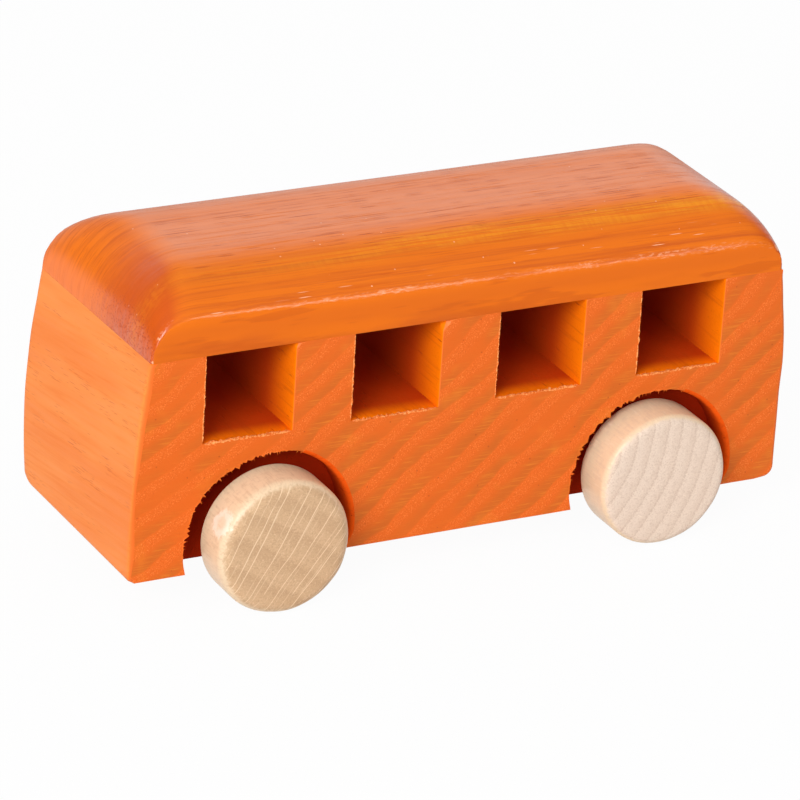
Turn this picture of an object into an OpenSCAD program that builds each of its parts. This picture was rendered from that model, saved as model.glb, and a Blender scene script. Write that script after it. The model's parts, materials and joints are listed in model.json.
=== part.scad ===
// Wooden toy bus: a block with window tunnels, a rounded roof board and two rolling wheelsets.
// X runs along the bus with its front at -X, Y across it, Z up from the floor.

/* [Body block] */
// Length of the block at its longest
body_l = 143; // [125:1:165]
// Width of the block, side to side
body_w = 50; // [44:1:60]
// Height of the block, underside to roof joint
body_h = 45.6; // [43:0.2:54]
// How far the front face has leaned back at the roof joint
front_rake = 2.9; // [0.5:0.1:4.5]
// Height of the front face's upright foot
front_foot_h = 7.6; // [4:0.2:20]
// How far the rear face has leaned in at the roof joint
rear_rake = 2.2; // [0.5:0.1:4.5]
// Height of the rear face's upright foot
rear_foot_h = 23.6; // [4:0.2:30]
// Rounding of the lower corners at both ends
end_corner_r = 2; // [0.5:0.1:3.5]

/* [Windows] */
// Number of window tunnels
window_count = 4; // [2:1:4]
// Width of a window tunnel
window_w = 19; // [12:0.5:24]
// Depth of a window tunnel below the roof joint
window_h = 18.3; // [10:0.1:19.5]
// From the front end of the block to the first window
window_front_gap = 14.4; // [9:0.1:18]
// From the last window to the rear end of the block
window_rear_gap = 14.8; // [9:0.1:18]

/* [Roof board] */
// Thickness of the roof board
roof_t = 14.8; // [11:0.2:18]
// Height of the upright band left along both sides of the board
roof_band_h = 6.8; // [3:0.1:8]
// How far in from each side the rounding reaches
roof_side_reach = 17.5; // [12:0.5:22]
// Height of the upright band left at both ends of the board
roof_end_band_h = 1; // [0.4:0.1:3]
// How far in from the front end the rounding reaches
roof_front_reach = 13.6; // [8:0.1:22]
// How far in from the rear end the rounding reaches
roof_rear_reach = 15; // [8:0.1:22]
// How far in along the diagonal the easing of the four corners reaches
roof_corner_reach = 20; // [12:0.5:22]
// How far the easing lowers the four corners
roof_corner_rise = 13; // [4:0.1:13.5]

/* [Wheels] */
// Diameter of a wheel
wheel_d = 28; // [24:0.5:31]
// Thickness of a wheel
wheel_t = 10; // [8:0.5:12]
// Rounding of a wheel's outer edge
wheel_edge_r = 1.8; // [1:0.1:3]
// Rounding of a wheel's inner edge
wheel_back_edge_r = 0.8; // [0.4:0.1:1.5]
// How far a wheel stands out of the block's side with its wheelset in the middle
wheel_proud = 7.8; // [6:0.1:8]
// Side play taken up: front wheelset towards the left side, rear one towards the right
side_play = 1; // [0:0.1:2.5]
// Depth of the blind hole in a wheel's back
wheel_hole_depth = 7; // [5:0.5:7]

/* [Axles] */
// Diameter of the axle dowel
axle_d = 6; // [5:0.5:7]
// Height of the axle's middle above the underside of the block
axle_rise = 6.5; // [5.5:0.1:9]
// From the front end of the block to the front axle
front_overhang = 29.3; // [25:0.1:33]
// From the rear end of the block to the rear axle
rear_overhang = 29; // [25:0.1:33]
// Chamfer on the ends of the dowel
axle_chamfer = 0.5; // [0.2:0.1:0.9]

/* [Wheel recesses] */
// Diameter of a wheel recess
recess_d = 36; // [34.5:0.5:39]
// Depth of a wheel recess
recess_depth = 6.5; // [6:0.1:8]
// How far a recess is centred below the axle
recess_drop = 1.3; // [0:0.1:1.4]

/* [Fits] */
// Running clearance round the axle in the block, on the radius
axle_clearance = 0.1; // [0.02:0.01:0.1]
// Glue gap round the axle in a wheel, on the radius
glue_gap = 0.03; // [0.01:0.01:0.05]

/* [Hidden] */
$fa = 2;
$fs = 0.4;
// Cuts run this far past the faces that they open
overrun = 1;

STAINED_BLOCK = [0.86, 0.36, 0.08];
STAINED_BOARD = [0.80, 0.30, 0.06];
PLAIN_WHEEL = [0.86, 0.74, 0.58];
PLAIN_DOWEL = [0.80, 0.67, 0.48];
LEFT = -1;
RIGHT = 1;

wheel_r = wheel_d / 2;
// The wheels stand on the floor, which sets the block's height above it
underside_z = wheel_r - axle_rise;
roof_joint_z = underside_z + body_h;
// The roof board ends where the leaning end faces meet it
roof_front_x = front_rake - body_l / 2;
roof_rear_x = body_l / 2 - rear_rake;
front_axle_x = front_overhang - body_l / 2;
rear_axle_x = body_l / 2 - rear_overhang;
axle_holes_x = [front_axle_x, rear_axle_x];
// Spacing of the windows, spread evenly between the two end gaps
window_pitch = (body_l - window_front_gap - window_rear_gap - window_w) / (window_count - 1);
front_play_y = LEFT * side_play;
rear_play_y = RIGHT * side_play;
// Outer face of a wheel, measured from the middle of its wheelset
wheel_face_y = body_w / 2 + wheel_proud;
axle_l = 2 * (wheel_face_y - wheel_t + wheel_hole_depth);

// Radius of an arc that is level at one end and falls by rise over the length reach
function arc_r(reach, rise) = (reach * reach + rise * rise) / (2 * rise);

// Height of a rounding on the roof board above the upright band, no steeper than a quarter round
function roof_rise(reach, band_h) = min(roof_t - band_h, reach);

// What a rounding takes off a corner at the origin: the arc is level where it ends, at x = reach
module rounding_waste(reach, rise) {
    r = arc_r(reach, rise);
    difference() {
        translate([-overrun, -r])
            square([reach + overrun, r + overrun]);
        translate([reach, -r])
            circle(r);
    }
}

// What leaning the front end back takes off the block's side outline
module lean_waste(foot_h, rake) {
    translate([-body_l / 2, foot_h])
        rotate(90)
            mirror([1, 0])
                translate([foot_h - body_h, 0])
                    rounding_waste(body_h - foot_h, rake);
}

// What rounding the lower front corner takes off the block's side outline
module foot_waste() {
    translate([-body_l / 2, 0])
        mirror([0, 1])
            rounding_waste(end_corner_r, end_corner_r);
}

// Side outline of the block, with its underside at zero
module block_outline() {
    difference() {
        translate([-body_l / 2, 0])
            square([body_l, body_h]);
        lean_waste(front_foot_h, front_rake);
        foot_waste();
        mirror([1, 0]) {
            lean_waste(rear_foot_h, rear_rake);
            foot_waste();
        }
    }
}

// Side outline of the roof board, with its underside at zero
module board_side_outline() {
    difference() {
        translate([roof_front_x, 0])
            square([roof_rear_x - roof_front_x, roof_t]);
        translate([roof_front_x, roof_t])
            rounding_waste(roof_front_reach, roof_rise(roof_front_reach, roof_end_band_h));
        translate([roof_rear_x, roof_t])
            mirror([1, 0])
                rounding_waste(roof_rear_reach, roof_rise(roof_rear_reach, roof_end_band_h));
    }
}

// Cross-section of the roof board, with its underside at zero
module board_cross_section() {
    difference() {
        translate([-body_w / 2, 0])
            square([body_w, roof_t]);
        for (side = [LEFT, RIGHT])
            translate([side * body_w / 2, roof_t])
                mirror([side == RIGHT ? 1 : 0, 0])
                    rounding_waste(roof_side_reach, roof_rise(roof_side_reach, roof_band_h));
    }
}

// What easing the ridge takes off a roof corner at the origin, for a board that lies at +X and +Y
module corner_easing() {
    rotate([90, 0, 45])
        linear_extrude(2 * (roof_corner_reach + overrun), center = true)
            rounding_waste(roof_corner_reach, roof_rise(roof_corner_reach, roof_t - roof_corner_rise));
}

// A round bar along Y, centred on its own length
module bar(r, l) {
    rotate([90, 0, 0])
        cylinder(r = r, h = l, center = true);
}

module window_tunnels() {
    for (i = [0:window_count - 1])
        translate([
            window_front_gap - body_l / 2 + i * window_pitch,
            -body_w / 2 - overrun,
            roof_joint_z - window_h
        ])
            cube([window_w, body_w + 2 * overrun, window_h + overrun]);
}

module wheel_recesses() {
    for (x = axle_holes_x, side = [LEFT, RIGHT])
        translate([x, side * (body_w + overrun - recess_depth) / 2, wheel_r - recess_drop])
            bar(recess_d / 2, recess_depth + overrun);
}

module axle_holes() {
    for (x = axle_holes_x)
        translate([x, 0, wheel_r])
            bar(axle_d / 2 + axle_clearance, body_w);
}

module body() {
    color(STAINED_BLOCK)
        difference() {
            translate([0, 0, underside_z])
                rotate([90, 0, 0])
                    linear_extrude(body_w, center = true)
                        block_outline();
            window_tunnels();
            wheel_recesses();
            axle_holes();
        }
}

module roof() {
    color(STAINED_BOARD)
        translate([0, 0, roof_joint_z])
            difference() {
                intersection() {
                    rotate([90, 0, 0])
                        linear_extrude(body_w, center = true)
                            board_side_outline();
                    rotate([90, 0, 90])
                        linear_extrude(body_l, center = true)
                            board_cross_section();
                }
                for (side = [LEFT, RIGHT]) {
                    translate([roof_front_x, side * body_w / 2, roof_t])
                        mirror([0, side == RIGHT ? 1 : 0, 0])
                            corner_easing();
                    translate([roof_rear_x, side * body_w / 2, roof_t])
                        mirror([1, 0, 0])
                            mirror([0, side == RIGHT ? 1 : 0, 0])
                                corner_easing();
                }
            }
}

// One dowel, with chamfered ends, its middle moved along Y by the side play
module axle(x, play_y) {
    half_l = axle_l / 2;
    r = axle_d / 2;
    color(PLAIN_DOWEL)
        translate([x, play_y, wheel_r])
            rotate([90, 0, 0])
                rotate_extrude()
                    polygon([
                        [0, -half_l], [r - axle_chamfer, -half_l], [r, axle_chamfer - half_l],
                        [r, half_l - axle_chamfer], [r - axle_chamfer, half_l], [0, half_l]
                    ]);
}

// Half of a wheel's section: its axis at x = 0, its inner face at y = 0, its outer face at the top
module wheel_half_section() {
    difference() {
        square([wheel_r, wheel_t]);
        translate([wheel_r, wheel_t])
            mirror([1, 0])
                rounding_waste(wheel_edge_r, wheel_edge_r);
        translate([wheel_r, 0])
            rotate(180)
                rounding_waste(wheel_back_edge_r, wheel_back_edge_r);
        translate([0, -overrun])
            square([axle_d / 2 + glue_gap, wheel_hole_depth + overrun]);
    }
}

// One wheel on the side given, with its outer face away from the block
module wheel(x, play_y, side) {
    color(PLAIN_WHEEL)
        translate([x, play_y + side * (wheel_face_y - wheel_t), wheel_r])
            rotate([-side * 90, 0, 0])
                rotate_extrude()
                    wheel_half_section();
}

module front_axle() { axle(front_axle_x, front_play_y); }
module rear_axle() { axle(rear_axle_x, rear_play_y); }
module front_left_wheel() { wheel(front_axle_x, front_play_y, LEFT); }
module front_right_wheel() { wheel(front_axle_x, front_play_y, RIGHT); }
module rear_left_wheel() { wheel(rear_axle_x, rear_play_y, LEFT); }
module rear_right_wheel() { wheel(rear_axle_x, rear_play_y, RIGHT); }

body();
roof();
front_axle();
rear_axle();
front_left_wheel();
front_right_wheel();
rear_left_wheel();
rear_right_wheel();
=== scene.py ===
"""Wooden toy bus: its pieces, their finishes and a studio stage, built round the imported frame.

X runs along the bus with its front at -X, Y across it, Z up from the floor, in metres.
"""

import json
import math
import random
from dataclasses import dataclass

import bpy
import bmesh
import numpy as np
from bpy.props import FloatProperty, FloatVectorProperty, IntProperty, PointerProperty
from mathutils import Matrix, Vector


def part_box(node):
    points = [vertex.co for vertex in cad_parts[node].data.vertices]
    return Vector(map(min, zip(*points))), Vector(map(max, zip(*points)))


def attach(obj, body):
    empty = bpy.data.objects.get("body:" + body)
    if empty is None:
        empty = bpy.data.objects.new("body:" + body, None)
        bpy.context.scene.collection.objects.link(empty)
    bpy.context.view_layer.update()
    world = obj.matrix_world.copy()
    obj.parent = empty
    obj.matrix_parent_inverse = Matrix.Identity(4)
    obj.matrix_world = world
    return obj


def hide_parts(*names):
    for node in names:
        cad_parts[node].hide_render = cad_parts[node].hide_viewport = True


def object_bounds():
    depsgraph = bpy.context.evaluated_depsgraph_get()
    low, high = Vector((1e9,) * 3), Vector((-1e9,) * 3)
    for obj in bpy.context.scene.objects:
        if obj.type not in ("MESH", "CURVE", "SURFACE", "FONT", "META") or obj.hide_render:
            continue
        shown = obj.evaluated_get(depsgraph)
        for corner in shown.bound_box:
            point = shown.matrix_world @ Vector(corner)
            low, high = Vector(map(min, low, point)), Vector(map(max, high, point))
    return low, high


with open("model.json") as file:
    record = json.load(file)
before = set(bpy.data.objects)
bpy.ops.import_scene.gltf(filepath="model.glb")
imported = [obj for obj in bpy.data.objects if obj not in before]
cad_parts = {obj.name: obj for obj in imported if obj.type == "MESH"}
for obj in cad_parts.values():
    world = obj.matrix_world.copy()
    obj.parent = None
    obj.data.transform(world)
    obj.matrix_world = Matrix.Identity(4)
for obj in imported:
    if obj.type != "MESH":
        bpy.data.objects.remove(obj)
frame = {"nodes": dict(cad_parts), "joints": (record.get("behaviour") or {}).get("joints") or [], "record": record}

bl_info = {
    "name": "Wooden Toy Bus",
    "version": (1, 0, 0),
    "blender": (4, 5, 0),
    "location": "3D View > Sidebar > Toy Bus",
    "description": "Builds a wooden toy bus with stained, lacquered and plain wood finishes",
    "category": "Add Mesh",
}

MM = 0.001

# Places and sizes that the frame gives
CAD_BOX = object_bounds()
BLOCK_LOW, BLOCK_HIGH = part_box("body")
ROOF_LOW, ROOF_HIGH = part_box("roof")
AXLE_PLACES = {joint["child"]: Vector(joint["pos_m"]) for joint in frame["joints"]}
WINDOW_BOXES = sorted(opening["box_m"] for opening in frame["record"]["physics"]["openings"])
LEFT = -1
RIGHT = 1
SIDES = (LEFT, RIGHT)
FRONT = "front"
REAR = "rear"


# Settings that a user would change

def length(description, size):
    """A size, given in millimetres and shown with a unit."""
    return FloatProperty(description=description, default=size * MM, unit="LENGTH", precision=5)


def share(description, default):
    """A plain share, from none at 0 to full at 1."""
    return FloatProperty(description=description, default=default, min=0.0, max=1.0, subtype="FACTOR")


def amount(description, default):
    return FloatProperty(description=description, default=default)


def tilt(description, degrees):
    return FloatProperty(description=description, default=math.radians(degrees), subtype="ANGLE")


def bearing(description, default):
    return FloatVectorProperty(description=description, default=default, size=3, subtype="DIRECTION")


def colour(description, default):
    """A linear colour."""
    return FloatVectorProperty(
        description=description, default=default, size=3, min=0.0, max=1.0, subtype="COLOR"
    )


def labelled(group):
    """Names each setting of a group after its own words."""
    for key, setting in group.__annotations__.items():
        setting.keywords["name"] = key.replace("_", " ").capitalize()
    return group


@labelled
class ToyBusBlock(bpy.types.PropertyGroup):
    """Sizes of the block's ends, tunnels, recesses and edges."""

    front_foot: length("Height of the front face's upright foot", 7.6)
    rear_foot: length("Height of the rear face's upright foot", 23.6)
    front_corner: length("Rounding of the lower front corner", 1.3)
    rear_corner: length("Rounding of the lower rear corner", 2.4)
    far_bulge: length("How far the front face swells towards the right side", 0.9)
    rear_swell: length("How far the rear face swells towards the left side", 0.65)
    far_corner: length("Rounding of the lower right edge near the front", 3.4)
    window_inset: length("From a window's wall to the clear box in it", 0.3)
    recess_radius: length("Radius of a wheel recess", 18)
    recess_depth: length("Depth of a wheel recess", 6.5)
    recess_drop: length("How far a recess is centred below the axle", 1.3)
    bore_radius: length("Radius of the axle's bore", 3.1)
    end_ease: length("Sanded rounding of the edges at both ends", 0.9)
    edge_wear: share("How unevenly the edges at both ends are sanded", 0.4)
    underside_ease: length("Sanded rounding along the underside", 0.18)
    joint_ease: length("Sanded rounding along the roof joint", 0.02)
    window_ease: length("Rounding of the clean edges of the windows", 0.3)
    recess_ease: length("Rounding of the clean edges of the recesses", 0.9)
    window_tear: length("Height of the torn fibres round the windows", 0.52)
    recess_tear: length("Height of the torn fibres round the recesses", 0.8)
    tear_reach: length("How far into the cut the torn fibres go", 1.5)
    lip_width: length("Width of the raised lip along the torn edges", 0.3)
    lip_height: length("Height of the raised lip along the torn edges", 0.14)
    fibre_step: length("Width of the finest torn fibre", 0.22)
    sliver_share: share("Share of the torn fibres that stand up as slivers", 0.4)
    sliver_root: length("How deep a sliver is rooted in the wood", 0.3)
    chips: FloatVectorProperty(
        description="Depth of the chip at each window's upper rear corner", size=4,
        default=(0.8 * MM, 1.5 * MM, 0.25 * MM, 0.4 * MM), unit="LENGTH", precision=5,
    )
    chip_slope: amount("How many times longer than deep a chip is", 1.7)
    seed: IntProperty(description="Start of the random torn fibres", default=11)


@labelled
class ToyBusRoof(bpy.types.PropertyGroup):
    """Sizes of the roof board's roundings and edges."""

    front_band: length("Height of the upright side band at the front", 7.7)
    rear_band: length("Height of the upright side band at the rear", 5.7)
    side_reach: length("How far in the side roundings reach", 17.5)
    end_band: length("Height of the upright band at both ends", 1.0)
    front_reach: length("How far in the front rounding reaches", 13.6)
    rear_reach: length("How far in the rear rounding reaches", 17.0)
    front_blend: amount("How squarely the roundings meet at the front corners", 1.95)
    rear_blend: amount("How squarely the roundings meet at the rear corners", 2.3)
    front_swell: length("How far the front end swells towards the right side", 0.57)
    rear_swell: length("How far the rear end swells towards the left side", 0.65)
    front_fullness: amount("How full the front rounding is: 2 is an ellipse", 2.0)
    rear_fullness: amount("How full the rear rounding is: 2 is an ellipse", 2.3)
    crease_width: length("Width of the sanding along the crease", 1.1)
    crease_drop: length("Depth of the sanding along the crease", 0.9)
    crease_wear: length("Unevenness of the crease", 0.1)
    front_corner: length("Rounding in plan of the front corners", 0.6)
    rear_corner: length("Rounding in plan of the rear corners", 0.8)
    joint_ease: length("Sanded rounding along the joint", 0.02)
    seed: IntProperty(description="Start of the random wear", default=5)


@labelled
class ToyBusWheels(bpy.types.PropertyGroup):
    """Sizes of the wheels' edges and holes."""

    soft_edge: length("Rounding of a well-sanded wheel's outer edge", 2.5)
    crisp_edge: length("Rounding of a lightly sanded wheel's outer edge", 1.7)
    back_edge: length("Rounding of a wheel's inner edge", 0.8)
    edge_wander: share("How much the hand sanding varies round the edge", 0.06)
    crown: length("How far the middle of the outer face stands out", 0.1)
    hole_radius: length("Radius of the blind hole in the back", 3.03)
    hole_depth: length("Depth of the blind hole in the back", 7.0)
    steps: IntProperty(description="Steps round a wheel", default=160, min=24)


@labelled
class ToyBusFinish(bpy.types.PropertyGroup):
    """Colours of the woods and the stain, and of the painted light and shade."""

    early: colour("Bright, open wood between the rings", (0.765, 0.132, 0.011))
    late: colour("Dense, duller wood of the rings", (0.58, 0.122, 0.010))
    fleck: colour("Raised fibres on sawn end grain", (0.97, 0.27, 0.06))
    scratch: colour("Fine saw lines over the rings", (0.80, 0.23, 0.02))
    long_grain: colour("Smooth stained faces along the grain", (0.84, 0.211, 0.031))
    long_light: colour("Lighter streaks along the grain", (0.88, 0.258, 0.047))
    dash: colour("Short dark dashes along the grain", (0.60, 0.100, 0.014))
    # Painted light and shade in the window tunnels: lit next to the side faces, shaded in the middle
    tunnel: colour("Window tunnels next to the side faces", (0.95, 0.205, 0.002))
    tunnel_painted_shade: colour("Window tunnels in the middle of the block", (0.50, 0.052, 0.004))
    # Painted light and shade in the wheel recesses: lit next to the side faces, the deep colour is painted shade
    recess: colour("Wheel recesses next to the side faces", (0.85, 0.100, 0.006))
    recess_painted_shade: colour("Wheel recesses where the stain has gathered", (0.38, 0.020, 0.002))
    pore: colour("Pores in stained wood", (0.42, 0.05, 0.006))
    torn: colour("Fibres torn up at the cut edges", (1.00, 0.40, 0.13))
    board: colour("Stained roof board", (0.80, 0.165, 0.003))
    # Painted light: the roof board's top is coloured brighter, standing in for more light from above
    board_top_painted_light: colour("Brighter, sanded top of the roof board", (0.92, 0.210, 0.010))
    # Paler end grain on the right, which also holds a painted reflection of the floor low on the ends
    board_pale_and_sheen: colour("Paler end grain on the right", (0.88, 0.205, 0.045))
    board_dark: colour("Dark grain of the roof board", (0.58, 0.100, 0.008))
    board_end: colour("Stain gathered in the end grain", (0.58, 0.078, 0.005))
    board_gold: colour("Golden grain of the roof board", (0.88, 0.29, 0.008))
    lit_pore: colour("Lacquered pores and edges that catch the light", (0.98, 0.54, 0.32))
    beige: colour("Plain wood of the front wheels", (0.62, 0.40, 0.228))
    beige_ring: colour("Rings of the front wheels", (0.46, 0.275, 0.145))
    beige_ray: colour("Rays of the front wheels", (0.85, 0.63, 0.41))
    pale: colour("Plain wood of the rear wheels", (0.77, 0.617, 0.50))
    pale_ring: colour("Rings of the rear wheels", (0.58, 0.42, 0.32))
    pale_ray: colour("Rays of the rear wheels", (0.88, 0.73, 0.58))
    rim: colour("Sanded wood along the grain round the wheels", (0.79, 0.60, 0.395))
    # A polished patch on the rim, with its highlight painted in as a pale colour
    burnish: colour("Polished patch on a wheel's rim", (0.98, 0.80, 0.66))
    dowel: colour("Plain wood of the axles", (0.62, 0.42, 0.24))
    dowel_streak: colour("Streaks along the axles", (0.48, 0.30, 0.16))


@labelled
class ToyBusStage(bpy.types.PropertyGroup):
    """The camera, the lights and the floor."""

    target: FloatVectorProperty(
        description="Point that the view is centred on", size=3,
        default=(-14.81 * MM, -24.70 * MM, 37.50 * MM), subtype="TRANSLATION", unit="LENGTH",
    )
    distance: length("From the camera to the target", 1047.7)
    azimuth: tilt("Turn of the camera round the bus", -28.714)
    elevation: tilt("Height of the camera above the horizon", 24.026)
    roll: tilt("Tilt of the picture", -3.664)
    lens: amount("Focal length in millimetres", 243.76)
    floor_colour: colour("Colour of the floor", (0.8, 0.8, 0.8))
    floor_white: share("How far the floor shows as plain white", 0.96)
    floor_size: length("Width of the floor", 6000)
    lamp_distance: length("From the bus to each lamp", 2400)
    key_size: length("Width of the key lamp", 1300)
    key_level: amount("Light that the key lamp gives a face turned to it", 0.87)
    key_direction: bearing("From the bus to the key lamp", (-0.68, -0.58, 0.45))
    fill_size: length("Width of the fill lamp", 500)
    fill_level: amount("Light that the fill lamp gives a face turned to it", 0.1)
    fill_direction: bearing("From the bus to the fill lamp", (0.40, -0.85, 0.36))
    surround_level: amount("Level of the light from all round", 0.25)


SETTINGS = {
    "toybus_block": ToyBusBlock,
    "toybus_roof": ToyBusRoof,
    "toybus_wheels": ToyBusWheels,
    "toybus_finish": ToyBusFinish,
    "toybus_stage": ToyBusStage,
}


# Mesh building

# Edges that turn by more degrees than these shade sharp
BLOCK_SHARP = 38
ROOF_SHARP = 32
WHEEL_SHARP = 40


class Rings:
    """Points and faces of one mesh, collected ring by ring."""

    def __init__(self):
        self.points = []
        self.faces = []
        self.finishes = []

    def ring(self, points):
        """Adds points and gives back their numbers."""
        first = len(self.points)
        self.points.extend(tuple(point) for point in points)
        return list(range(first, len(self.points)))

    def face(self, corners, finish=0):
        self.faces.append(tuple(corners))
        self.finishes.append(finish)

    def bridge(self, lower, upper, finish=0, closed=True):
        """Faces between two rings of like counts. The finish is one number or one for each step."""
        count = len(lower)
        steps = count if closed else count - 1
        for i in range(steps):
            j = (i + 1) % count
            corners = [lower[i], lower[j], upper[j], upper[i]]
            corners = list(dict.fromkeys(corners))
            if len(corners) > 2:
                self.face(corners, finish if isinstance(finish, int) else finish[i])

    def build(self, name, materials, sharp_degrees):
        """A new object with smooth faces, sharp along edges that turn by more than the angle given."""
        mesh = bpy.data.meshes.new(name)
        mesh.from_pydata(self.points, [], self.faces)
        for material in materials:
            mesh.materials.append(material)
        mesh.polygons.foreach_set("material_index", self.finishes)
        work = bmesh.new()
        work.from_mesh(mesh)
        bmesh.ops.recalc_face_normals(work, faces=work.faces)
        work.to_mesh(mesh)
        work.free()
        mesh.shade_smooth()
        mesh.set_sharp_from_angle(angle=math.radians(sharp_degrees))
        flatten_caps(mesh)
        piece = bpy.data.objects.new(name, mesh)
        bpy.context.scene.collection.objects.link(piece)
        return piece


def flatten_caps(mesh):
    """Makes the edges of large many-sided faces sharp, so that these faces shade flat."""
    many_sides = 12
    caps = [polygon for polygon in mesh.polygons if polygon.loop_total > many_sides]
    for cap in caps:
        for loop in cap.loop_indices:
            mesh.edges[mesh.loops[loop].edge_index].use_edge_sharp = True


def line(start, end, step):
    """Points from start towards end, about a step apart, without the end."""
    start = np.array(start, float)
    end = np.array(end, float)
    count = max(1, round(float(np.linalg.norm(end - start)) / step))
    return [start + (end - start) * i / count for i in range(count)]


def arc(centre, radius, start, end, step):
    """Points along an arc from one angle to another, about a step apart, without the end."""
    count = max(2, round(abs(end - start) * radius / step))
    angles = [start + (end - start) * i / count for i in range(count)]
    return [
        np.array((centre[0] + radius * math.cos(angle), centre[1] + radius * math.sin(angle)))
        for angle in angles
    ]


def arc_fall(reach, rise, run):
    """How far an arc has fallen at run, when it starts level and falls by rise over reach."""
    radius = (reach * reach + rise * rise) / (2 * rise)
    return radius - math.sqrt(max(radius * radius - run * run, 0.0))


def smooth_step(low, high, value):
    """From 0 at low to 1 at high, level at both."""
    part = np.clip((value - low) / (high - low), 0.0, 1.0)
    return part * part * (3 - 2 * part)


def wander(count, step, generator):
    """Smooth random values between -1 and 1 along a row, with a new one every few steps."""
    knots = np.arange(0, count + step, step)
    return np.interp(np.arange(count), knots, [generator.uniform(-1, 1) for _ in knots])


# The block

# Where a recess's rim turns from torn to clean, from -1 at its front to 1 at its rear
TORN_TO_CLEAN = (-0.1, 0.45)

# Heights above the underside over which a recess's easing and its tearing set in
EASED_FROM = (0.5 * MM, 4 * MM)
TORN_FROM = (2.5 * MM, 8 * MM)

# Shares of the sill's tearing on a window's front edge, and of the windows' slivers in the recesses
FRONT_EDGE_TEAR = 0.5
RECESS_SLIVERS = 0.5

# Share of a half wave that the front face's swell runs through up its height
FRONT_WAVE = 0.78

# Depths of the rings that shape the lower right edge, in roundings of that edge
CORNER_DEPTHS = (0.55, 0.8, 1.05)

# Bands of faces from the side face inwards that belong to its edge
EDGE_BANDS = 2


@dataclass
class Station:
    """One point of the block's side outline, and how the edge is finished there."""

    place: np.ndarray
    ease: float
    tear: float = 0.0
    chip: float = 0.0
    recess: int = None
    end: str = None


def end_outline(low_x, foot, rake, corner, inward):
    """Points up an end face of the block, from the underside to the roof joint, without the last."""
    step = 1.6 * MM
    bottom = BLOCK_LOW.z
    joint = ROOF_LOW.z
    centre = (low_x + inward * corner, bottom + corner)
    upright = math.radians(-180 if inward > 0 else 0)
    corner_step = corner / 4
    points = arc(centre, corner, math.radians(-90), upright, corner_step)
    points += line((low_x, bottom + corner), (low_x, bottom + foot), step)
    height = joint - bottom - foot
    count = round(height / step)
    for i in range(count):
        rise = height * i / count
        points.append(np.array((low_x + inward * arc_fall(height, rake, rise), bottom + foot + rise)))
    return points


def block_outline(block):
    """Stations round the block's side outline, counter-clockwise as the left side shows it."""
    coarse = 1.5 * MM
    fine = block.fibre_step
    bottom = BLOCK_LOW.z
    joint = ROOF_LOW.z
    stations = []

    def add(points, ease, **kind):
        stations.extend(Station(point, ease, **kind) for point in points)

    front_x = BLOCK_LOW.x
    rear_x = BLOCK_HIGH.x
    x = front_x + block.front_corner
    for recess, place in enumerate(AXLE_PLACES.values()):
        centre = (place.x, place.z - block.recess_drop)
        below = math.asin((centre[1] - bottom) / block.recess_radius)
        half_chord = block.recess_radius * math.cos(below)
        add(line((x, bottom), (centre[0] - half_chord, bottom), coarse), block.underside_ease)
        rim = arc(centre, block.recess_radius, math.pi + below, -below, fine)
        clear = math.ceil(2 * block.underside_ease / fine)
        rim = rim[:1] + rim[1 + clear:-clear]
        for point in rim:
            torn = 1 - smooth_step(*TORN_TO_CLEAN, (point[0] - centre[0]) / block.recess_radius)
            height = point[1] - bottom
            ease = block.recess_ease * (1 - torn) * smooth_step(*EASED_FROM, height)
            tear = block.recess_tear * torn * smooth_step(*TORN_FROM, height)
            add([point], ease, tear=tear, recess=recess)
        corner = stations[-len(rim)]
        corner.recess = None
        corner.ease = block.underside_ease
        corner.tear = 0.0
        x = centre[0] + half_chord
    add(line((x, bottom), (rear_x - block.rear_corner, bottom), coarse), block.underside_ease)
    rear_rake = BLOCK_HIGH.x - ROOF_HIGH.x
    add(end_outline(rear_x, block.rear_foot, rear_rake, block.rear_corner, -1), block.end_ease, end=REAR)
    x = ROOF_HIGH.x
    add([np.array((x, joint))], block.joint_ease, end=REAR)
    for (low, high), chip in reversed(list(zip(WINDOW_BOXES, block.chips))):
        left = low[0] - block.window_inset
        right = high[0] + block.window_inset
        sill = low[2] - block.window_inset
        add(line((x, joint), (right + chip, joint), coarse)[1:], block.joint_ease)
        for point in line((right, joint), (right, sill), fine):
            scoop = chip * (1 - smooth_step(0.0, chip * block.chip_slope, joint - point[1]))
            add([point], block.window_ease, chip=scoop)
        sill_edge = ((right, sill), (left, sill), 1.0)
        front_edge = ((left, sill), (left, joint), FRONT_EDGE_TEAR)
        for start, end, share_torn in (sill_edge, front_edge):
            for point in line(start, end, fine):
                room = min(np.linalg.norm(point - start), np.linalg.norm(point - end))
                standing = smooth_step(-0.2 * block.window_tear, 3 * block.window_tear, room)
                add([point], 0.0, tear=block.window_tear * standing * share_torn)
        add([np.array((left, joint))], block.joint_ease)
        x = left
    add(line((x, joint), (ROOF_LOW.x, joint), coarse)[1:], block.joint_ease)
    front_rake = ROOF_LOW.x - BLOCK_LOW.x
    upwards = end_outline(front_x, block.front_foot, front_rake, block.front_corner, 1)
    top = np.array((ROOF_LOW.x, joint))
    add([top] + upwards[:0:-1], block.end_ease, end=FRONT)
    return stations


def outward_normals(places):
    """Directions out of the wood at each point of a counter-clockwise outline, longer at corners."""
    ahead = np.roll(places, -1, axis=0) - places
    ahead /= np.linalg.norm(ahead, axis=1)[:, None]
    behind = np.roll(ahead, 1, axis=0)
    right_ahead = np.stack([ahead[:, 1], -ahead[:, 0]], axis=1)
    right_behind = np.stack([behind[:, 1], -behind[:, 0]], axis=1)
    middle = right_ahead + right_behind
    middle /= np.linalg.norm(middle, axis=1)[:, None]
    least_stretch = 0.7
    stretch = np.clip((middle * right_ahead).sum(axis=1), least_stretch, 1.0)
    return middle / stretch[:, None]


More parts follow.
